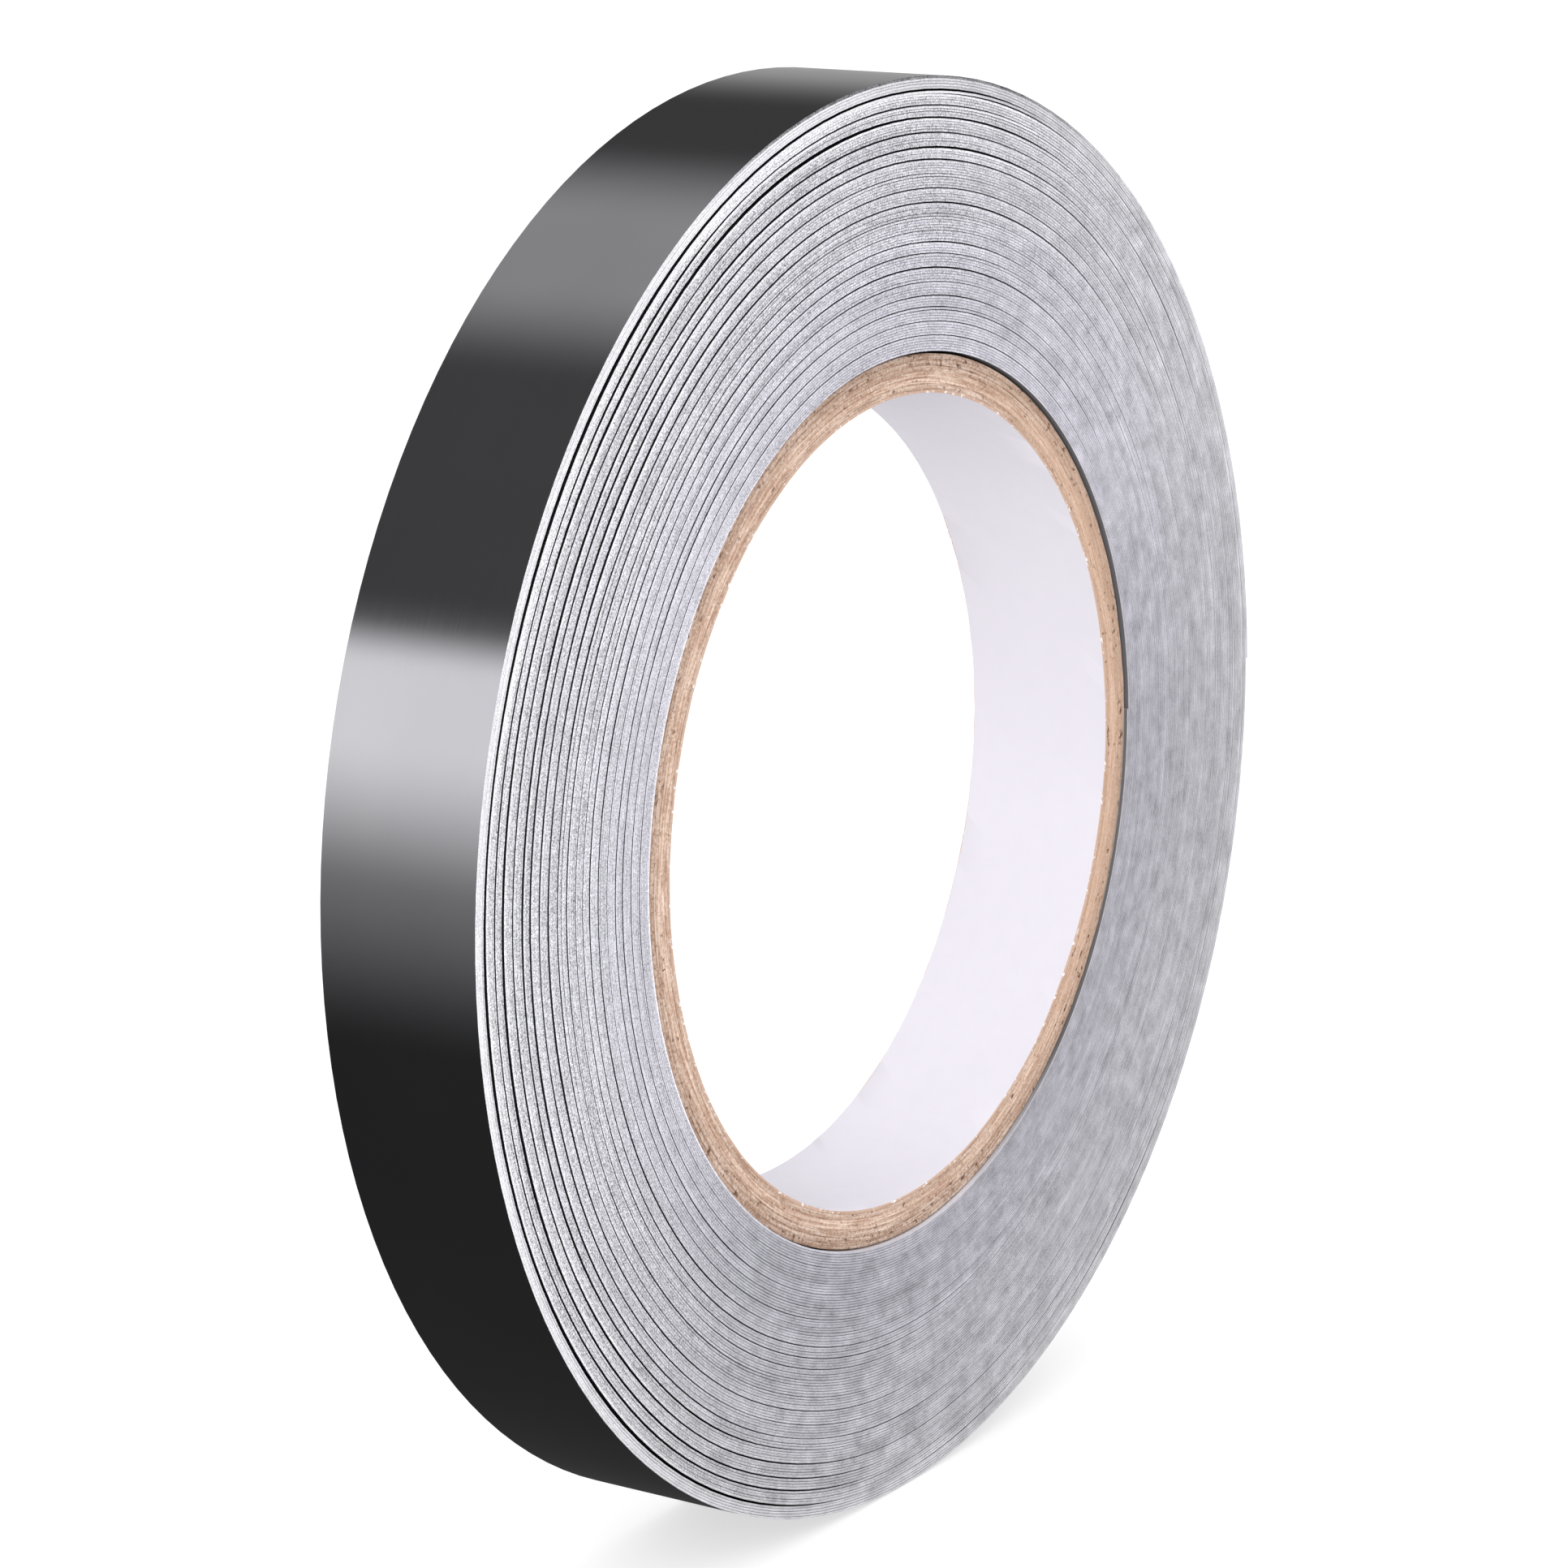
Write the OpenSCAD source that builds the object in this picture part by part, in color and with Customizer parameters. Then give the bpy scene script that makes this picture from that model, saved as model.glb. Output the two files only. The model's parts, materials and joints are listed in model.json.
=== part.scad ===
// Roll of adhesive-backed metal foil tape on a paper core, as used for edging
// glass. The roll stands on its rim: its axis lies along Y, its front face
// looks along -Y, and the origin is the centre of the core's bore. The tape is
// wound clockwise as seen from the front, with the foil side outwards.

/* [Paper core] */
// Bore of the core, which slips over a dispenser hub
core_bore_d = 76.2; // [40:0.1:80]
// Thickness of the smooth white paper that lines the bore
bore_ply_t = 0.3; // [0.2:0.05:0.6]
// Thickness of one ply of kraft board
kraft_ply_t = 0.55; // [0.3:0.05:0.8]
// How far the core's ends sit below the tape's edges
core_recess = 0.4; // [0:0.1:1]
// Gap at the butt seam of each wound ply
seam_gap = 0.2; // [0.1:0.05:0.5]
// Slant of the seams against the roll's axis, in degrees
seam_slant = 45; // [0:5:45]

/* [Tape] */
// Width of the tape
tape_w = 16; // [6:0.5:25]
// Full turns of tape on the core
turns = 96; // [10:1:110]
// Thickness of the metal foil
foil_t = 0.04; // [0.03:0.005:0.1]
// Thickness of the adhesive under the foil
adhesive_t = 0.05; // [0.03:0.005:0.06]
// Thickness of the paper release liner
liner_t = 0.12; // [0.05:0.01:0.15]
// Air between one turn and the next
turn_gap = 0.05; // [0.03:0.01:0.1]

/* [Start of the tape] */
// Thickness of the double-sided strip that holds the first turn to the core
starter_t = 0.08; // [0.05:0.01:0.15]
// Arc that the starter strip covers, in degrees
starter_arc = 30; // [10:5:60]

/* [Loose end of the tape] */
// Where the cut end of the tape lies, in degrees above the +X axis
free_end_angle = 2; // [-5:1:20]
// Arc from the cut end back to the line where the tail lifts off the roll
tail_arc = 38; // [30:1:60]
// Arc from the cut end back to the line where the foil parts from its liner
peel_arc = 26; // [10:1:28]
// Gap across each of the two fold lines
fold_gap = 0.15; // [0.1:0.05:0.3]
// Clearance between the peeling foil and the liner below it
peel_gap = 0.02; // [0.01:0.01:0.03]

/* [Hidden] */

kraft_plies = 6;
core_r = core_bore_d / 2 + bore_ply_t + kraft_plies * kraft_ply_t;
core_len = tape_w - 2 * core_recess;

// Depths of the three layers inside one thickness of tape, from its inner side
adhesive_in = liner_t;
foil_in = adhesive_in + adhesive_t;
tape_t = foil_in + foil_t;
pitch = tape_t + turn_gap;

// The winding is a run of half circles about two centres half a pitch apart,
// so each half turn runs smoothly into the next one, half a pitch further out
first_turn_r = core_r + starter_t;
half_turns = 2 * turns;
last_half = half_turns - 1;
last_r = first_turn_r + last_half * pitch / 2;
outer_r = last_r + pitch / 2 + tape_t;
degrees_per_mm = 180 / (PI * last_r);

// Where the seam of the bore ply lies, and the angle from each kraft seam to the next
bore_seam_at = 165;
seam_step = 67;
// Radial depth of the cut that opens a seam
seam_cut = 6;
// How far cutting shapes run past what they cut, in millimetres or degrees
past = 1;
$fn = 180;

// Stands a shape drawn in the front view up on the roll's rim
module stand_up() rotate([90, 0, 0]) children();

// A flat ring between two radii
module ring(inner_r, ring_r) {
    difference() {
        circle(r = ring_r);
        circle(r = inner_r);
    }
}

// A wedge of the front view between two angles less than 180 degrees apart
module sector(from, to) {
    reach = 3 * outer_r;
    polygon([[0, 0], reach * [cos(from), sin(from)],
        reach * [cos((from + to) / 2), sin((from + to) / 2)], reach * [cos(to), sin(to)]]);
}

// Half turn number k of the layer between two depths in the tape
module half_turn(k, depth_in, depth_out) {
    upper = k % 2;
    turn_r = first_turn_r + k * pitch / 2;
    translate([upper * pitch / 2, 0])
        difference() {
            ring(turn_r + depth_in, turn_r + depth_out);
            translate([-2 * outer_r, upper == 1 ? -2 * outer_r : 0])
                square([4 * outer_r, 2 * outer_r]);
        }
}

// The part of the last half turn between two angles, counted from the cut end
module last_turn_arc(from, to, depth_in, depth_out) {
    intersection() {
        half_turn(last_half, depth_in, depth_out);
        translate([pitch / 2, 0]) sector(from, to);
    }
}

// Gives a layer drawn in the front view the tape's width, at the tape's end angle
module tape_width(w = tape_w) {
    stand_up() linear_extrude(w, center = true) rotate(free_end_angle) children();
}

// One layer of the wound tape, from the core to the line where the tail begins
module wound_layer(depth_in, depth_out) {
    tape_width() {
        for (k = [0 : last_half - 1]) half_turn(k, depth_in, depth_out);
        difference() {
            half_turn(last_half, depth_in, depth_out);
            translate([pitch / 2, 0]) sector(-past, tail_arc + fold_gap * degrees_per_mm);
        }
    }
}

// One layer of the stretch of tail that stays laminated
module tail_layer(depth_in, depth_out) {
    tape_width()
        last_turn_arc(peel_arc + fold_gap * degrees_per_mm, tail_arc, depth_in, depth_out);
}

// One layer of the end of the foil that peels off its liner
module peel_layer(depth_in, depth_out) {
    tape_width() last_turn_arc(-past, peel_arc, depth_in, depth_out);
}

// One ply of the core, rolled round with its ends butted at a slanted seam
module ply(inner_r, ply_t, seam_at) {
    stand_up()
        difference() {
            cylinder(r = inner_r + ply_t, h = core_len, center = true);
            cylinder(r = inner_r, h = core_len + 2 * past, center = true);
            rotate([0, 0, seam_at])
                translate([inner_r, 0, 0])
                    rotate([seam_slant, 0, 0])
                        cube([seam_cut, seam_gap, 2 * core_len], center = true);
        }
}

module core_bore_ply() {
    color("ghostwhite") ply(core_bore_d / 2, bore_ply_t, bore_seam_at);
}

// Kraft ply number i, counted from the bore outwards
module core_kraft_ply(i) {
    color(i % 2 == 1 ? "burlywood" : "tan")
        ply(core_bore_d / 2 + bore_ply_t + (i - 1) * kraft_ply_t, kraft_ply_t, i * seam_step);
}

// Double-sided strip under the start of the tape
module starter_strip() {
    color("lightyellow")
        tape_width(core_len)
            intersection() {
                ring(core_r, first_turn_r);
                sector(-starter_arc, 0);
            }
}

module release_liner() { color("whitesmoke") wound_layer(0, adhesive_in); }

module adhesive() { color("gainsboro") wound_layer(adhesive_in, foil_in); }

module foil() { color("dimgray") wound_layer(foil_in, tape_t); }

// The liner of the whole tail, thinned by the peel clearance
module tail_release_liner() {
    color("whitesmoke")
        tape_width() {
            last_turn_arc(-past, peel_arc + fold_gap * degrees_per_mm, 0, adhesive_in - peel_gap);
            last_turn_arc(peel_arc + fold_gap * degrees_per_mm, tail_arc, 0, adhesive_in);
        }
}

module tail_adhesive() { color("gainsboro") tail_layer(adhesive_in, foil_in); }

module tail_foil() { color("dimgray") tail_layer(foil_in, tape_t); }

module peel_adhesive() { color("gainsboro") peel_layer(adhesive_in, foil_in); }

module peel_foil() { color("dimgray") peel_layer(foil_in, tape_t); }

core_bore_ply();
core_kraft_ply(1);  // core_kraft_ply_1
core_kraft_ply(2);  // core_kraft_ply_2
core_kraft_ply(3);  // core_kraft_ply_3
core_kraft_ply(4);  // core_kraft_ply_4
core_kraft_ply(5);  // core_kraft_ply_5
core_kraft_ply(6);  // core_kraft_ply_6
starter_strip();
release_liner();
adhesive();
foil();
tail_release_liner();
tail_adhesive();
tail_foil();
peel_adhesive();
peel_foil();
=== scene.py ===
import math

import bpy
import numpy as np
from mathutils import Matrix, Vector
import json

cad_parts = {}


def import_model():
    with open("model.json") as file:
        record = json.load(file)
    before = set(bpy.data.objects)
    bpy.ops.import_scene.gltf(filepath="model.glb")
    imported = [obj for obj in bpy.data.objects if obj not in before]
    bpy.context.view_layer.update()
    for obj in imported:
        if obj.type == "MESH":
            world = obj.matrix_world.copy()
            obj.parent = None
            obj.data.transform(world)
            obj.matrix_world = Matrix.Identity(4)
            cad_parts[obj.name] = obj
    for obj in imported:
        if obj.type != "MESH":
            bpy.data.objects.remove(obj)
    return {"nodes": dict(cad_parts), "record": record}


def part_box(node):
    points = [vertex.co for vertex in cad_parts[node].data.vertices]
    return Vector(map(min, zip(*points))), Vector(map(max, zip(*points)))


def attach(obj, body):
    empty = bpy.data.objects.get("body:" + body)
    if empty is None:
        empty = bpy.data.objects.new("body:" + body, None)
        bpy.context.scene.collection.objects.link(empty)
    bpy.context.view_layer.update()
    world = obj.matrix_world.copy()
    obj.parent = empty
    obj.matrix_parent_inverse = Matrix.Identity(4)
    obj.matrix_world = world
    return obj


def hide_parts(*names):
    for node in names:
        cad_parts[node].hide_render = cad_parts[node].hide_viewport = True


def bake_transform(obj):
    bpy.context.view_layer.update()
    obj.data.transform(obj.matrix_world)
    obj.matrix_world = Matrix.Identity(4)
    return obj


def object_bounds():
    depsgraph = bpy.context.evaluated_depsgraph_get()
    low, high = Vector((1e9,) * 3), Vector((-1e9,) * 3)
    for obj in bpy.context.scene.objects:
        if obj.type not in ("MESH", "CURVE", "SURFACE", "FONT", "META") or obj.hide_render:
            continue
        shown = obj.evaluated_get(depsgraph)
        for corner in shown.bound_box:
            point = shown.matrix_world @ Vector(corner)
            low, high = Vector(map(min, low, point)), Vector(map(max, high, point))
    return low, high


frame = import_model()
cad_lo, cad_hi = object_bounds()

MM = 0.001
TAU = 2 * math.pi

# --- Sizes, from the frame where it has them ---------------------------------
_, core_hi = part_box("core_kraft_ply_6")
_, foil_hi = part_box("foil")
CORE_R = core_hi.x
CORE_HALF = core_hi.y
TAPE_HALF = foil_hi.y
BORE_R = next(m for m in frame["record"]["mounts"] if m["name"] == "core_bore")["dims"]["r_mm"] * MM
BORE_PLY = 0.3 * MM
KRAFT_PLIES = 6
KRAFT_T = (CORE_R - BORE_R - BORE_PLY) / KRAFT_PLIES

LINER_T, ADHESIVE_T, FOIL_T = 0.12 * MM, 0.05 * MM, 0.04 * MM
TAPE_T = LINER_T + ADHESIVE_T + FOIL_T
TURNS = 96
TURN_GAP = 0.05 * MM
FIRST_R = CORE_R + 0.08 * MM
LAST_R = FIRST_R + TURNS * (TAPE_T + TURN_GAP)
# Angles above +X of the tape's cut end and of the two lines that its loose end bends at
CUT_END = math.radians(2)
PEEL_LINE = math.radians(28)
TAIL_ROOT = math.radians(40)
# Cross-sections in one turn of the tape, and round one ply of the core
STEPS = 144
CORE_STEPS = 420
# Closer rings at a strip's ends carry its shading on into the next strip
END_RINGS = np.array([0.02, 0.06, 0.18, 0.5]) / STEPS


# --- Seeded waves ------------------------------------------------------------
def waves(seed, low, high, count=9, fall=0.7):
    """A smooth random function of one variable, about -1 to 1, with detail between two frequencies."""
    rng = np.random.default_rng(seed)
    f = np.exp(rng.uniform(np.log(low), np.log(high), count))
    amp = f**-fall
    amp /= np.sqrt((amp**2).sum() / 2)
    ph = rng.uniform(0, TAU, count)

    def at(x):
        x = np.asarray(x, float)[..., None]
        return (amp * np.sin(TAU * f * x + ph)).sum(-1) * 0.5

    return at


def smooth(x):
    x = np.clip(x, 0, 1)
    return x * x * (3 - 2 * x)


# --- How the tape lies on the core -------------------------------------------
# The lines on the roll's face are places where the winding loosened and the tape
# stepped sideways. They come at about even depths below the rim, and the gap at each
# is narrower towards the core.
LINE_COUNT = 19
FIRST_LINE = 1.5 * MM
LINE_PITCH = 1.22 * MM
WIDEST_LINE, NARROWEST_LINE = 0.155 * MM, 0.045 * MM
LINE_FALL = 5  # the lines over which the gap falls to about a third of the way
# Degrees from +X at which a gap is widest: on the left at the rim, further up at the core
WIDE_SIDE, WIDE_SIDE_DRIFT = 178, 50
RIPPLES = 12

rng = np.random.default_rng(11)
# Each cross-section's place on the tape, in turns from its start
grid = np.arange(TURNS * STEPS + 1) / STEPS

depths, gaps = [], []
for n in range(LINE_COUNT):
    depths.append(FIRST_LINE + LINE_PITCH * (n + rng.uniform(-0.12, 0.12)))
    mean_gap = NARROWEST_LINE + (WIDEST_LINE - NARROWEST_LINE) * math.exp(-n / LINE_FALL)
    gaps.append(mean_gap * rng.uniform(0.7, 1.2))
# The air that is left between two turns where there is no line
SLACK = TURN_GAP - sum(gaps) / TURNS

lines, opened = [], 0.0
for n, (depth, gap) in enumerate(zip(depths, gaps)):
    at = TURNS - (depth - opened - gap / 2) / (TAPE_T + SLACK)
    side = rng.uniform(-0.3, 0.27)  # it begins on the side away from the camera
    run = rng.uniform(0.10, 0.22)
    step = 0.03 * MM + 0.35 * gap
    uneven = rng.uniform(0.7, 0.95)
    wide_at = math.radians(WIDE_SIDE - WIDE_SIDE_DRIFT * n / LINE_COUNT + rng.uniform(-18, 18))
    ripple = rng.uniform(0, TAU, RIPPLES)
    lines.append((round(at + side) - side, gap, step, run, uneven, wide_at, ripple))
    opened += gap
lines.sort(key=lambda line: line[0])


def spread(angle, uneven, wide_at, ripple):
    """How wide a line's gap is at an angle round the roll, 1 on average."""
    wobble = sum(np.cos((k + 3) * angle + ripple[k]) / (k + 3) ** 0.6 for k in range(RIPPLES))
    return 1 + uneven * np.cos(angle - wide_at) - 0.2 * np.cos(4 * angle) + 0.45 * wobble


def near(angle, degrees, edge, soft):
    """1 where an angle is near a side of the roll, 0 away from it, by the cosine between them."""
    return smooth((np.cos(angle - math.radians(degrees)) - edge) / soft)


# Along the tape: how near a line is, which way the tape faces, and how freely it
# wanders, which is not at all at its two ends and little on the first turns
near_line = sum(np.exp(-(((grid - line[0]) / 1.1) ** 2)) for line in lines)
facing = CUT_END - TAU * grid
calm = smooth((TURNS - 0.6 - grid) / 1.5) * smooth(grid / 3)
inner_calm = 0.25 + 0.75 * smooth((grid - 12) / 12)


def lay_radius():
    """The radius of the tape's inner side, from its start to its end."""
    r = LAST_R - (TURNS - grid) * (TAPE_T + SLACK)
    for at, gap, _, run, *shape in lines:
        inside = 1 - smooth((grid - at) / run + 0.5)
        r = r - gap * inside
        r = r - gap * (spread(facing, *shape) - 1) * (inside - 1 + grid / TURNS)
    loose = 0.009 + 0.020 * near_line
    r = r + calm * inner_calm * loose * MM * waves(24, 0.4, 3.2, 14)(grid)
    # From the rim inwards, no turn may cut into the one outside it or into the core
    for turn in range(TURNS - 1, -1, -1):
        here = slice(turn * STEPS, (turn + 1) * STEPS)
        above = slice((turn + 1) * STEPS, (turn + 2) * STEPS)
        room = r[above] if turn < TURNS - 1 else np.full(STEPS, LAST_R + TAPE_T)
        r[here] = np.minimum(r[here], room - TAPE_T)
    return np.maximum(r, FIRST_R + grid * TAPE_T)


def lay_shift():
    """How far the tape lies off the roll's middle plane, towards the back."""
    knots = [0.0] + [line[0] for line in lines] + [float(TURNS)]
    steps = [0.0] + [line[2] for line in lines] + [0.0]
    y = np.zeros_like(grid)
    for n in range(len(knots) - 1):
        p = (grid - knots[n]) / (knots[n + 1] - knots[n])
        climb = steps[n] / 2 - (steps[n] + steps[n + 1]) / 2 * np.clip(p, 0, 1) ** 2
        y = np.where((p >= 0) & (p <= 1), climb, y)
    for at, _, step, run, *_ in lines:
        p = (grid - at) / run
        y = np.where((p > 0) & (p < 1), step * (smooth(p) - 0.5), y)
    y = y * (0.75 + 0.5 * waves(23, 0.6, 2.4)(grid))
    slow, quick = 0.010 * MM * waves(21, 0.15, 0.9)(grid), 0.011 * MM * waves(22, 1.3, 7.0, 14)(grid)
    return calm * (y + inner_calm * (slow + quick))


def lay_painted_light():
    """Painted highlight and shade on each turn's edge: beside an open line the turn inside it
    stands free and gets a painted highlight, and the turns outside it get painted shade."""
    value = np.zeros_like(grid)
    top = 0.25 + 0.75 * near(facing, 85, 0.3, 0.5)
    for at, gap, _, _, *shape in lines:
        d = grid - at
        open_here = np.clip((gap * spread(facing, *shape) / MM - 0.04) / 0.12, 0, 1.6)
        value += open_here * np.select(
            [(d > -1) & (d < 0), (d <= -1) & (d > -4), (d >= 0) & (d < 1), (d >= 1) & (d < 4)],
            [0.8, 0.25 * top * (1 + (d + 1) / 3), -0.15 - 0.3 * top, -0.45 * top * (1 - d / 4)],
        )
    value *= 0.75 + 0.55 * waves(25, 1.5, 9, 14)(grid)
    # The outer turns get a painted highlight band, which fades at the top, where the last turn is dark
    band_turns = 4.8 + 6 * near(facing, 128, 0.6, 0.35)
    value += 0.8 * (1 - 0.7 * near(facing, 70, 0.8, 0.15)) * smooth((grid - TURNS + band_turns) / 0.8)
    # The first turn gets a painted highlight at the lower left
    value += (grid < 1) * near(facing, 215, -0.4, 1)
    dark_rim = smooth((grid - TURNS + 1.05) / 0.1) * near(facing, 88, 0.84, 0.12)
    return np.clip(value, -1, 1) * (1 - dark_rim) - 1.7 * dark_rim


LAY_R, LAY_Y, LAY_PAINTED_LIGHT = lay_radius(), lay_shift(), lay_painted_light()


def tape_r(s):
    return np.interp(s, grid, LAY_R)


def tape_shift(s):
    return np.interp(s, grid, LAY_Y)


def world(s, r, y):
    """The point on a turn: s turns from the start, wound clockwise as seen from the front."""
    a = CUT_END - TAU * np.asarray(s, float)
    return np.stack([r * np.cos(a), y, r * np.sin(a)], -1)


# --- Mesh making -------------------------------------------------------------
SHARP = math.radians(35)


def make_mesh(name, verts, faces, material_of, materials):
    """An object with smooth shading but for its sharp edges, and a material for each face."""
    mesh = bpy.data.meshes.new(name)
    mesh.from_pydata(np.asarray(verts, np.float32).tolist(), [], faces)
    for material in materials:
        mesh.materials.append(material)
    mesh.polygons.foreach_set("material_index", np.asarray(material_of, np.int32))
    mesh.polygons.foreach_set("use_smooth", np.ones(len(mesh.polygons), bool))
    mesh.update()
    mesh.set_sharp_from_angle(angle=SHARP)
    ob = bpy.data.objects.new(name, mesh)
    bpy.context.scene.collection.objects.link(ob)
    return ob


def sweep(name, rings, materials, sides):
    """A closed strip through a run of cross-sections, all with the same number of corners in order."""
    rings = np.asarray(rings, float)
    n, k, _ = rings.shape
    i = np.arange(n - 1)[:, None]
    j = np.arange(k)[None, :]
    j2 = (j + 1) % k
    quads = np.stack([i * k + j, i * k + j2, (i + 1) * k + j2, (i + 1) * k + j], -1).reshape(-1, 4)
    material_of = np.concatenate([np.tile(np.asarray(sides), n - 1), [0, 0]])
    # The faces have to look away from the middle of the strip
    a, b, c = rings[0, 0], rings[0, 1], rings[1, 0]
    outward = (rings[0, 0] + rings[0, 1]) / 2 - rings[0].mean(0)
    if np.dot(np.cross(b - a, c - a), outward) > 0:
        first, last = list(range(k))[::-1], [(n - 1) * k + q for q in range(k)]
    else:
        quads = quads[:, ::-1]
        first, last = list(range(k)), [(n - 1) * k + q for q in range(k)][::-1]
    faces = quads.tolist() + [first, last]
    return make_mesh(name, rings.reshape(-1, 3), faces, material_of, materials)


def tape_layer(name, s0, s1, depth_in, depth_out, materials, fray):
    """One layer of the tape between two counts of turns, with its edge and face materials."""
    n = max(8, int(round((s1 - s0) * STEPS)))
    s = np.sort(np.concatenate([np.linspace(s0, s1, n + 1), s0 + END_RINGS, s1 - END_RINGS]))
    r = tape_r(s)
    y = tape_shift(s)
    r_in, r_out = r + depth_in, r + depth_out
    lip = fray(s) * MM
    front = y - TAPE_HALF + lip
    back = y + TAPE_HALF - lip
    corners = [world(s, r_in, front), world(s, r_out, front), world(s, r_out, back), world(s, r_in, back)]
    # Its four sides are front, outer, back and inner: edge, face, edge and face
    piece = sweep(name, np.stack(corners, 1), materials, [0, 1, 0, 1])
    # Every corner carries the painted highlight and shade of its turn's edge
    painted_light = piece.data.attributes.new("painted_light", "FLOAT", "POINT")
    painted_light.data.foreach_set("value", np.repeat(np.interp(s, grid, LAY_PAINTED_LIGHT), 4).astype(np.float32))
    return piece


# --- Material helpers --------------------------------------------------------
FACE_R = 54 * MM  # about the middle of the roll's face


class Nodes:
    """Short words for building a node tree."""

    def __init__(self, tree):
        self.tree = tree

    def add(self, kind, **settings):
        node = self.tree.nodes.new(kind)
        for key, value in settings.items():
            setattr(node, key, value)
        return node

    def link(self, a, b):
        self.tree.links.new(a, b)

    def put(self, value, socket):
        if isinstance(value, bpy.types.NodeSocket):
            self.link(value, socket)
        else:
            socket.default_value = value

    def math(self, op, a, b=0.0, c=0.0):
        node = self.add("ShaderNodeMath", operation=op)
        for value, socket in zip((a, b, c), node.inputs):
            self.put(value, socket)
        return node.outputs[0]

    def remap(self, value, a, b, lo=0.0, hi=1.0, kind="LINEAR"):
        """Takes a to lo and b to hi, and stays at lo or hi outside them."""
        node = self.add("ShaderNodeMapRange", interpolation_type=kind)
        for v, socket in zip((value, a, b, lo, hi), node.inputs):
            self.put(v, socket)
        return node.outputs[0]

    def split(self, vector):
        node = self.add("ShaderNodeSeparateXYZ")
        self.link(vector, node.inputs[0])
        return node.outputs


class MaterialNodes(Nodes):
    """A material, which knows where it is on the roll."""

    def __init__(self, name):
        self.mat = bpy.data.materials.new(name)
        self.mat.use_nodes = True
        super().__init__(self.mat.node_tree)
        self.bsdf = self.tree.nodes["Principled BSDF"]
        self.place = self.add("ShaderNodeTexCoord").outputs["Object"]

    def noise(self, where, scale, detail=3.0, rough=0.55):
        node = self.add("ShaderNodeTexNoise")
        self.link(where, node.inputs["Vector"])
        node.inputs["Scale"].default_value = scale
        node.inputs["Detail"].default_value = detail
        node.inputs["Roughness"].default_value = rough
        return node.outputs["Fac"]

    def mix(self, fac, a, b, kind="MIX"):
        node = self.add("ShaderNodeMix", data_type="RGBA", blend_type=kind)
        self.put(fac, node.inputs[0])
        for value, socket in ((a, node.inputs[6]), (b, node.inputs[7])):
            self.put((*value, 1) if isinstance(value, tuple) else value, socket)
        return node.outputs[2]

    def join(self, x, y, z):
        node = self.add("ShaderNodeCombineXYZ")
        for value, socket in zip((x, y, z), node.inputs):
            self.put(value, socket)
        return node.outputs[0]

    def radial(self):
        """The three coordinates and the distance from the roll's axis."""
        x, y, z = self.split(self.place)
        r = self.math("SQRT", self.math("ADD", self.math("MULTIPLY", x, x), self.math("MULTIPLY", z, z)))
        return x, y, z, r

    def polar(self, along, across, through):
        """Coordinates that run round the roll, so that a stretched noise follows the tape."""
        x, y, z, r = self.radial()
        return self.join(
            self.math("MULTIPLY", self.math("DIVIDE", x, r), FACE_R * along),
            self.math("MULTIPLY_ADD", y, across, self.math("MULTIPLY", r, through)),
            self.math("MULTIPLY", self.math("DIVIDE", z, r), FACE_R * along),
        )

    def towards(self, degrees):
        """1 on the side of the roll at this angle from +X, 0 square to it, -1 opposite."""
        x, _, z, r = self.radial()
        c, s = math.cos(math.radians(degrees)), math.sin(math.radians(degrees))
        return self.math("DIVIDE", self.math("MULTIPLY_ADD", x, c, self.math("MULTIPLY", z, s)), r)

    def bump(self, height, strength, distance):
        node = self.add("ShaderNodeBump")
        node.inputs["Strength"].default_value = strength
        node.inputs["Distance"].default_value = distance
        self.link(height, node.inputs["Height"])
        self.link(node.outputs[0], self.bsdf.inputs["Normal"])

    def set(self, **values):
        for key, value in values.items():
            self.put(value, self.bsdf.inputs[key.replace("_", " ")])


def srgb(r, g, b):
    """A colour given in the 0 to 255 scale of a picture, as linear light."""
    return tuple(((c / 255 + 0.055) / 1.055) ** 2.4 if c > 10 else c / 255 / 12.92 for c in (r, g, b))


def material_foil():
    """Dark, glossy metal, with the faint marks of rolling."""
    m = MaterialNodes("foil_face")
    cloud = m.noise(m.place, 60, 3.0)
    drawn = m.noise(m.polar(120, 5200, 0), 1.0, 3.0)
    m.set(
        Metallic=1.0,
        Base_Color=m.mix(m.remap(cloud, 0.3, 0.7), srgb(147, 147, 151), srgb(152, 152, 155)),
        Roughness=m.remap(drawn, 0.3, 0.7, 0.065, 0.1),
    )
    m.bump(drawn, 0.04, 0.00001)
    return m.mat


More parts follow.
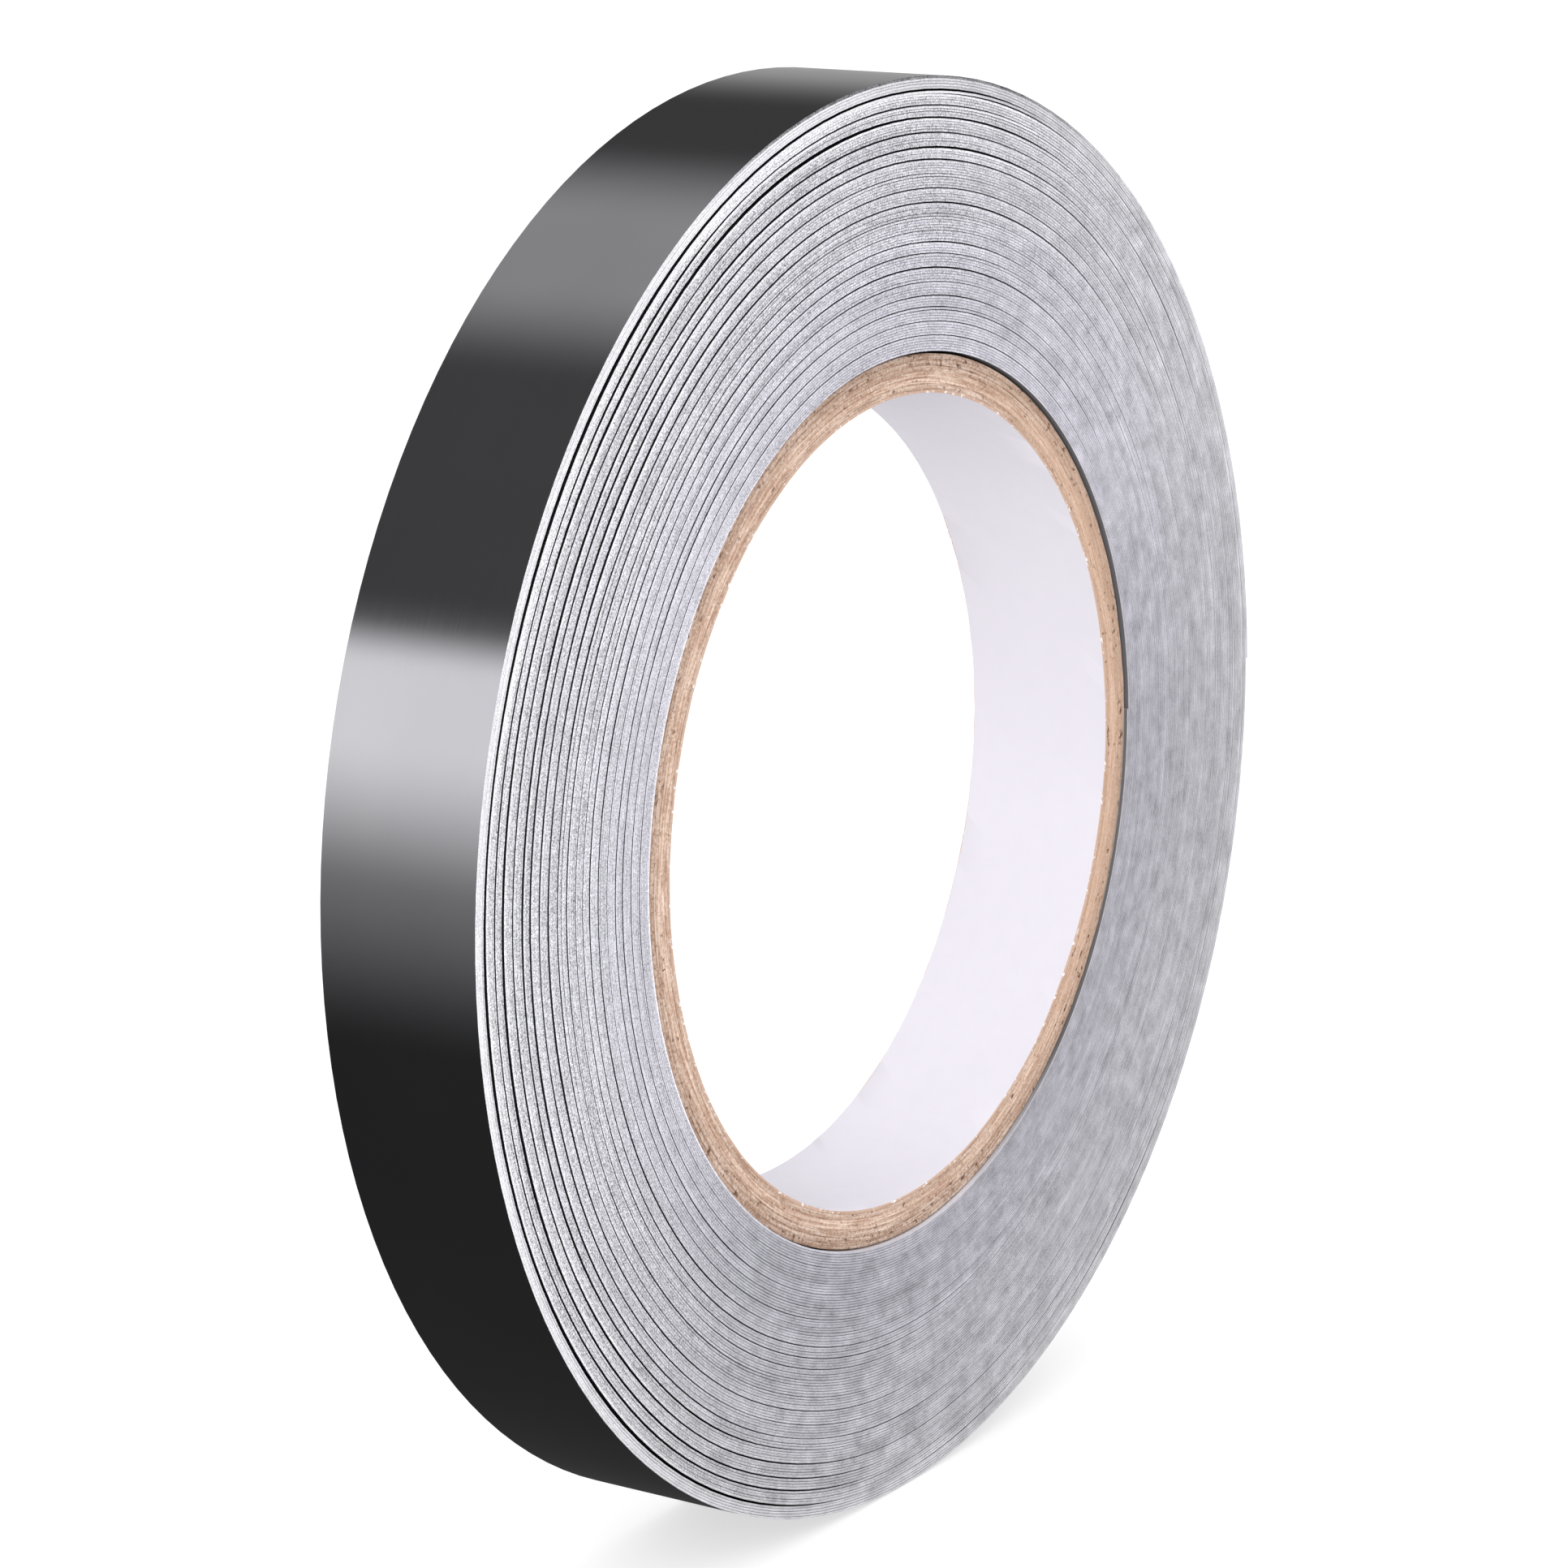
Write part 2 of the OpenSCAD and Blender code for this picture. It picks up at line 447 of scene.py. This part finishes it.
def material_edge(name, tone):
    """The cut edge of a layer of tape on the roll's face."""
    m = MaterialNodes(name)
    x, _, _, r = m.radial()
    raked = m.remap(m.towards(150), -0.4, 0.5, 0.25, 1.0)  # the side the light skims over
    # The grain and flecks in the colour are the edge's own; their stronger contrast on the side the light
    # skims over is painted raking light
    rough = m.math("MULTIPLY", raked, m.remap(r, 0.046, 0.053, 0.65, 1.0))
    rough = m.math("MULTIPLY", rough, m.remap(r, LAST_R - 1.5 * MM, LAST_R - 0.9 * MM, 1.0, 0.5))
    grain = m.noise(m.place, 8200, 2.0, 0.7)
    fleck = m.noise(m.place, 5200, 2.0, 0.5)
    streak = m.noise(m.polar(38, 0, 3900), 1.0, 2.0)
    # Broad light and dark bands across the turns: partly the tape's own tone, partly painted shading of
    # the steps between turns
    band = m.noise(m.polar(30, 0, 900), 1.0, 2.0)
    cloud = m.noise(m.polar(330, 0, 600), 1.0, 5.0, 0.65)
    blotch = m.noise(m.place, 700, 3.0, 0.6)

    def on_side(away, skimmed):
        """One strength away from the light, and another on the side it skims over."""
        return m.remap(raked, 0.25, 1.0, away, skimmed)

    value = 1.0
    noises = ((streak, 0.12, 0.5), (band, 0.3, 0.4), (blotch, 0.6, 0.1), (cloud, 1.3, 0.5))
    for noise, away, skimmed in noises:
        value = m.math("MULTIPLY_ADD", m.math("SUBTRACT", noise, 0.5), on_side(away, skimmed), value)
    value = m.math("MULTIPLY_ADD", m.math("SUBTRACT", grain, 0.5), m.math("MULTIPLY", rough, 4.1), value)
    value = m.math("MULTIPLY_ADD", m.remap(fleck, 0.64, 0.72, 0.0, 0.35), rough, value)
    value = m.math("MULTIPLY_ADD", m.remap(fleck, 0.36, 0.29, 0.0, -0.35), rough, value)
    # Painted highlight and shade of each turn's edge, stronger on the side the light skims over
    painted_light = m.add("ShaderNodeAttribute", attribute_name="painted_light").outputs["Fac"]
    value = m.math("MULTIPLY_ADD", m.math("MULTIPLY", painted_light, on_side(0.4, 1.0)), 0.42, value)
    # Painted shade towards the lower right, and more lilac towards the core and the right
    painted_side_shade = m.math("MULTIPLY", m.remap(m.towards(300), -0.15, 0.5), m.remap(r, 0.043, 0.066, 0.28, 0.17))
    value = m.math("MULTIPLY", value, m.math("SUBTRACT", 1.0, painted_side_shade))
    value = m.math("MAXIMUM", value, 0.05)
    lilac = m.math("MULTIPLY", m.remap(r, 0.0655, 0.046, 0.35, 1.0), m.remap(x, -0.06, 0.05, 0.7, 1.0))
    base = m.mix(lilac, srgb(tone, tone, tone + 1), srgb(tone - 5, tone - 7, tone + 3))
    base = m.mix(1.0, base, m.join(value, value, value), "MULTIPLY")
    m.set(Base_Color=base, Roughness=0.6, Specular_IOR_Level=0.3)
    m.bump(grain, 0.6, 0.00006)
    return m.mat


def material_paper(name, light, dark, rough, scale=900, painted_shade_share=1.0):
    """Paper, which may get painted shade, down to a share of its colour, where it runs down between the
    turns.
    """
    m = MaterialNodes(name)
    fibre = m.noise(m.place, scale, 4.0, 0.6)
    cloud = m.noise(m.place, 45, 2.0)
    base = m.mix(m.remap(fibre, 0.3, 0.7, 0.0, 0.5), light, dark)
    base = m.mix(m.remap(cloud, 0.35, 0.65, 0.0, 0.4), base, dark)
    if painted_shade_share < 1:
        # Painted shade: the paper darkens from 0.12 mm in from the tape's edge, where it runs down
        # between the turns; on the first turn, in the recess by the core, only towards the right
        _, y, _, r = m.radial()
        deep = m.remap(m.math("ABSOLUTE", y), TAPE_HALF, TAPE_HALF - 0.12 * MM)
        beyond_first = m.remap(r, CORE_R + 0.25 * MM, CORE_R + 0.3 * MM)
        shaded = m.math("MAXIMUM", m.remap(m.towards(20), -0.1, 0.4), beyond_first)
        deep = m.math("MULTIPLY", deep, shaded)
        base = m.mix(deep, base, m.mix(1.0, base, (painted_shade_share, painted_shade_share, painted_shade_share), "MULTIPLY"))
    roughness = m.remap(fibre, 0.3, 0.7, rough, rough + 0.08)
    m.set(Base_Color=base, Roughness=roughness, Specular_IOR_Level=0.3)
    m.bump(fibre, 0.15, 0.00004)
    return m.mat


def material_adhesive():
    """A hazy, slightly shiny film."""
    m = MaterialNodes("adhesive_film")
    haze = m.noise(m.place, 700, 4.0, 0.6)
    m.set(
        Base_Color=m.mix(m.remap(haze, 0.3, 0.7), srgb(176, 174, 170), srgb(196, 194, 188)),
        Roughness=m.remap(haze, 0.3, 0.7, 0.22, 0.4),
        Metallic=0.35,
    )
    m.bump(haze, 0.06, 0.00005)
    return m.mat


def material_kraft(name, shade, rough):
    """Kraft board, cut across at the core's ends. Rough board has more torn pits."""
    m = MaterialNodes(name)
    fibre = m.noise(m.polar(150, 900, 5000), 1.0, 4.0, 0.6)
    grain = m.noise(m.place, 3600, 3.0, 0.65)
    pits = m.noise(m.polar(900, 900, 1900), 1.0, 2.0, 0.5)
    cloud = m.noise(m.polar(70, 90, 700), 1.0, 3.0)
    light, mid, dark = srgb(232, 209, 192), srgb(178, 145, 124), srgb(100, 72, 56)
    base = m.mix(m.remap(fibre, 0.40, 0.61), mid, light)
    base = m.mix(m.remap(cloud, 0.35, 0.7, 0.0, 0.6), base, mid)
    base = m.mix(m.remap(grain, 0.56, 0.68, 0.0, 0.55), base, srgb(240, 224, 210))
    base = m.mix(m.remap(grain, 0.47, 0.35, 0.0, 0.45 + 0.35 * rough), base, srgb(144, 108, 84))
    base = m.mix(m.remap(m.towards(5), 0.3, 0.9, 0.0, 0.6), base, srgb(206, 172, 148))
    base = m.mix(m.remap(pits, 0.66 - 0.05 * rough, 0.76 - 0.05 * rough, 0.0, 0.9), base, dark)
    base = m.mix(1.0, base, (shade, shade, shade), "MULTIPLY")
    m.set(Base_Color=base, Roughness=0.85, Specular_IOR_Level=0.2)
    m.bump(m.math("ADD", fibre, m.math("MULTIPLY", grain, 0.8)), 1.0, 0.00012)
    return m.mat


def material_bore_edge():
    """The torn edge of the bore's white paper, with kraft dust on it."""
    m = MaterialNodes("bore_paper_edge")
    torn = m.noise(m.polar(1300, 1300, 2500), 1.0, 3.0, 0.6)
    base = m.mix(m.remap(torn, 0.58, 0.66), srgb(196, 166, 146), srgb(238, 232, 230))
    m.set(Base_Color=base, Roughness=0.8, Specular_IOR_Level=0.2)
    m.bump(torn, 0.8, 0.0001)
    return m.mat


FOIL_FACE = material_foil()
FOIL_EDGE = material_edge("foil_edge", 199)
GLUE_EDGE = material_edge("adhesive_edge", 190)
LINER_EDGE = material_edge("liner_edge", 204)
LINER_FACE = material_paper("liner_face", srgb(232, 231, 235), srgb(220, 219, 225), 0.45)
# The wound liner is a shaded copy of the liner: a little darker, with painted shade where it runs down
# between the turns
LINER_SHADED = material_paper("liner_painted_shade_face", srgb(222, 221, 226), srgb(210, 209, 216), 0.45, painted_shade_share=0.2)
ADHESIVE = material_adhesive()
BORE_PAPER = material_paper("bore_paper", srgb(217, 213, 219), srgb(212, 208, 215), 0.38, 500)
BORE_EDGE = material_bore_edge()
# How light and how rough each kraft ply is, from the bore outwards
KRAFT_LOOKS = [(0.92, 0.3), (1.06, 0.1), (1.0, 0.0), (0.9, 0.6), (0.86, 1.0), (0.82, 0.9)]
KRAFTS = [material_kraft(f"kraft_{n}", shade, rough) for n, (shade, rough) in enumerate(KRAFT_LOOKS, 1)]

# --- The wound tape ----------------------------------------------------------
ROOT_S = TURNS - (TAIL_ROOT - CUT_END) / TAU
PEEL_S = TURNS - (PEEL_LINE - CUT_END) / TAU

glue_noise, foil_noise = waves(31, 2, 9, 12), waves(32, 2, 9, 12)


def liner_fray(s):
    """How far in mm the liner's edge lies inside the tape's width, along the tape."""
    return np.zeros_like(s)


def glue_fray(s):
    return 0.012 + 0.004 * glue_noise(s)


def foil_fray(s):
    return 0.003 + 0.004 * foil_noise(s)


# Each layer's two depths in the tape, its edge and face materials, its fray and its slot
LAYERS = {
    "release_liner": (0.0, LINER_T, [LINER_EDGE, LINER_SHADED], liner_fray, "release_paper"),
    "adhesive": (LINER_T, LINER_T + ADHESIVE_T, [GLUE_EDGE, ADHESIVE], glue_fray, "adhesive_film"),
    "foil": (LINER_T + ADHESIVE_T, TAPE_T, [FOIL_EDGE, FOIL_FACE], foil_fray, "dark_foil"),
}
for layer, (deep, out, mats, fray, slot) in LAYERS.items():
    piece = tape_layer("wound_" + layer, 0.0, ROOT_S, deep, out, mats, fray)
    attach(piece, "wound_roll")
    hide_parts(layer)


def tail_piece(name, s0, s1, layer, node):
    """A piece of the loose end, between two counts of turns."""
    deep, out, mats, fray, slot = LAYERS[layer]
    # The loose end takes the liner without the painted shade
    mats = [LINER_FACE if m == LINER_SHADED else m for m in mats]
    piece = tape_layer(name, s0, s1, deep, out, mats, fray)
    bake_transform(piece)
    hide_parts(node)


# The pieces start at their hinge: the tail's root for the loose liner, adhesive and foil, and the peel
# line for the foil's peeled end.
tail_piece("loose_release_liner", ROOT_S, TURNS, "release_liner", "tail_release_liner")
tail_piece("loose_adhesive", ROOT_S, PEEL_S, "adhesive", "tail_adhesive")
tail_piece("loose_foil", ROOT_S, PEEL_S, "foil", "tail_foil")
tail_piece("peeled_adhesive", PEEL_S, TURNS, "adhesive", "peel_adhesive")
tail_piece("peeled_foil_end", PEEL_S, TURNS, "foil", "peel_foil")


# --- The core ----------------------------------------------------------------
SEAM_GAP = 0.1 * MM
TEAR = 0.035 * MM  # how rough the torn ends of the plies are
MOST_TEAR = 0.12 * MM
BACK_SHIFT = 0.37  # turns between the front end's noise and the back end's


def core_ply(name, node, inner, thick, seam, materials, sides_of, seed):
    """One ply of the core: a strip bent round with its ends nearly touching at a slanted seam."""
    outer = inner + thick
    mid = (inner + outer) / 2
    bevel = min(0.06 * MM, thick / 5)
    across = np.linspace(inner + bevel, outer - bevel, 5)
    along = np.linspace(-CORE_HALF * 0.6, CORE_HALF * 0.6, 5)
    wall = CORE_HALF - bevel
    front = [(inner, -wall)] + [(r, -CORE_HALF) for r in across] + [(outer, -wall)]
    back = [(outer, wall)] + [(r, CORE_HALF) for r in across[::-1]] + [(inner, wall)]
    section = np.array(front + [(outer, y) for y in along] + back + [(inner, y) for y in along[::-1]])
    gap = SEAM_GAP / 2 / mid
    a = np.linspace(seam + gap, seam + TAU - gap, CORE_STEPS + 1)
    # Each end is torn by seven noises, one after the other across the ply
    noise = [waves(seed + 7 * k, 6, 90, 16, 0.3) for k in range(7)]
    rings = []
    at_end = np.abs(section[:, 1]) > CORE_HALF - 1.5 * bevel
    rank = np.clip(((section[:, 0] - inner) / thick * 6).round().astype(int), 0, 6)
    for k, (r, y) in enumerate(section):
        turn = a + y / mid
        lift = np.zeros_like(a)
        if at_end[k]:
            torn = TEAR * noise[rank[k]](a / TAU + (BACK_SHIFT if y > 0 else 0.0))
            lift = np.sign(y) * np.minimum(torn, MOST_TEAR)
        rings.append(np.stack([r * np.cos(turn), y + lift, r * np.sin(turn)], -1))
    piece = sweep(name, np.stack(rings, 1), materials, sides_of(section))
    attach(piece, "wound_roll")
    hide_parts(node)
    return piece


def one_material(section):
    """Material 0 all round."""
    return [0] * len(section)


def ends_apart(section):
    """Material 1 on the two end faces, 0 on the walls."""
    mid = (section + np.roll(section, -1, 0)) / 2
    return (np.abs(mid[:, 1]) > CORE_HALF - 0.07 * MM).astype(int)


bore = core_ply(
    "bore_paper_ply", "core_bore_ply", BORE_R, BORE_PLY,
    math.radians(165), [BORE_PAPER, BORE_EDGE], ends_apart, 400,
)
for n in range(KRAFT_PLIES):
    ply = core_ply(
        f"kraft_ply_{n + 1}", f"core_kraft_ply_{n + 1}", BORE_R + BORE_PLY + n * KRAFT_T, KRAFT_T,
        math.radians(67 * (n + 1)), [KRAFTS[n]], one_material, 500 + 40 * n,
    )

starter = frame["nodes"]["starter_strip"]
starter.data.materials.clear()
starter.data.materials.append(ADHESIVE)

# --- Floor, light and camera -------------------------------------------------
FLOOR_Z = cad_lo.z - 0.2 * MM
FLOOR_HALF = 12.0
FLOOR_GLOW = 0.64  # it shines a little, so that it comes out white as in the photo

scene = bpy.context.scene
scene.view_settings.view_transform = "Standard"

floor_mesh = bpy.data.meshes.new("floor")
corners = [(x * FLOOR_HALF, y * FLOOR_HALF, FLOOR_Z) for x, y in ((-1, -1), (1, -1), (1, 1), (-1, 1))]
floor_mesh.from_pydata(corners, [], [(0, 1, 2, 3)])
floor = bpy.data.objects.new("floor", floor_mesh)
scene.collection.objects.link(floor)
paint = MaterialNodes("floor_paint")
patchy = paint.remap(paint.noise(paint.place, 3, 2.0), 0.3, 0.7)
paint.set(
    Base_Color=paint.mix(patchy, (0.40, 0.40, 0.40), (0.44, 0.44, 0.44)),
    Roughness=0.9,
    Specular_IOR_Level=0.1,
    Emission_Color=(1, 1, 1, 1),
    Emission_Strength=FLOOR_GLOW,
)
floor_mesh.materials.append(paint.mat)
floor.visible_glossy = False

# Shiny surfaces see a studio of long soft boxes that run along the roll's axis. Each is
# given by the angles round that axis, from +X upwards, where it begins, is full, starts
# to fade and ends, and by how bright it is.
SOFT_BOXES = {
    "low right": (-30, -12, 10, 33, 0.35),
    "sky": (-30, 110, 150, 215, 0.09),
    "high right": (49, 72, 86, 105, 0.58),
    "key": (147, 155, 166, 190, 1.38),
    "key glow": (143, 156, 180, 216, 0.46),
}
STUDIO_DARK = 0.05

scene.world = bpy.data.worlds.new("studio")
scene.world.use_nodes = True
studio = Nodes(scene.world.node_tree)
studio.tree.nodes.clear()


def backdrop(colour, strength=1.0):
    """One way for the world to look."""
    node = studio.add("ShaderNodeBackground")
    studio.put(colour, node.inputs[0])
    studio.put(strength, node.inputs[1])
    return node.outputs[0]


def choose(kind_of_ray, others, these):
    """What one kind of ray sees, and what the others see."""
    node = studio.add("ShaderNodeMixShader")
    for value, socket in zip((kind_of_ray, others, these), node.inputs):
        studio.link(value, socket)
    return node.outputs[0]


x, _, z = studio.split(studio.add("ShaderNodeTexCoord").outputs["Generated"])
# The angle runs from -90 to 270 degrees, so that it jumps straight below, where it is dark
turn = studio.math("DIVIDE", studio.math("ARCTAN2", z, x), TAU)
turn = studio.math("SUBTRACT", studio.math("FRACT", studio.math("ADD", turn, 0.25)), 0.25)
angle = studio.math("MULTIPLY", turn, 360.0)
glow = STUDIO_DARK
for begins, full, fades, ends, bright in SOFT_BOXES.values():
    rise = studio.remap(angle, begins, full, 0, bright, "SMOOTHSTEP")
    fall = studio.remap(angle, fades, ends, 1, 0, "SMOOTHSTEP")
    glow = studio.math("ADD", studio.math("MULTIPLY", rise, fall), glow)

# Light on the surfaces comes from an even white, and the camera sees plain white
rays = studio.add("ShaderNodeLightPath").outputs
even = backdrop((0.98, 0.98, 1.0, 1), 1.08)
surroundings = choose(rays["Is Glossy Ray"], even, backdrop((1, 1, 1, 1), glow))
surroundings = choose(rays["Is Camera Ray"], surroundings, backdrop((1, 1, 1, 1)))
studio.link(surroundings, studio.add("ShaderNodeOutputWorld").inputs[0])


def soft_box(name, place, aim, width, watts):
    """A square light, which shiny surfaces don't show."""
    data = bpy.data.lights.new(name, "AREA")
    data.shape = "RECTANGLE"
    data.size = data.size_y = width
    data.energy = watts
    ob = bpy.data.objects.new(name, data)
    ob.location = place
    ob.rotation_mode = "QUATERNION"
    ob.rotation_quaternion = (Vector(aim) - Vector(place)).to_track_quat("-Z", "Y")
    ob.visible_glossy = False
    scene.collection.objects.link(ob)


soft_box("key", (-0.36, -0.22, 0.26), (-0.02, 0, 0.01), 0.26, 0.9)
soft_box("top", (0.1, 0.1, 1.1), (0, 0, 0), 1.4, 2.0)

# The camera was fitted to the outlines of the rim, the core's end and the bore
TO_CAMERA = Vector((-0.8207, -0.5242, 0.2273)).normalized()
CAMERA_DISTANCE = 0.4673
camera_data = bpy.data.cameras.new("camera")
camera_data.lens = 114.9
camera_data.sensor_width = 36.0
camera_data.shift_x = -0.03167
camera_data.shift_y = 0.00642
camera_data.clip_start, camera_data.clip_end = 0.01, 50
camera = bpy.data.objects.new("camera", camera_data)
camera.location = TO_CAMERA * CAMERA_DISTANCE
camera.rotation_mode = "QUATERNION"
camera.rotation_quaternion = (-TO_CAMERA).to_track_quat("-Z", "Y")
scene.collection.objects.link(camera)
scene.camera = camera

bpy.context.view_layer.update()
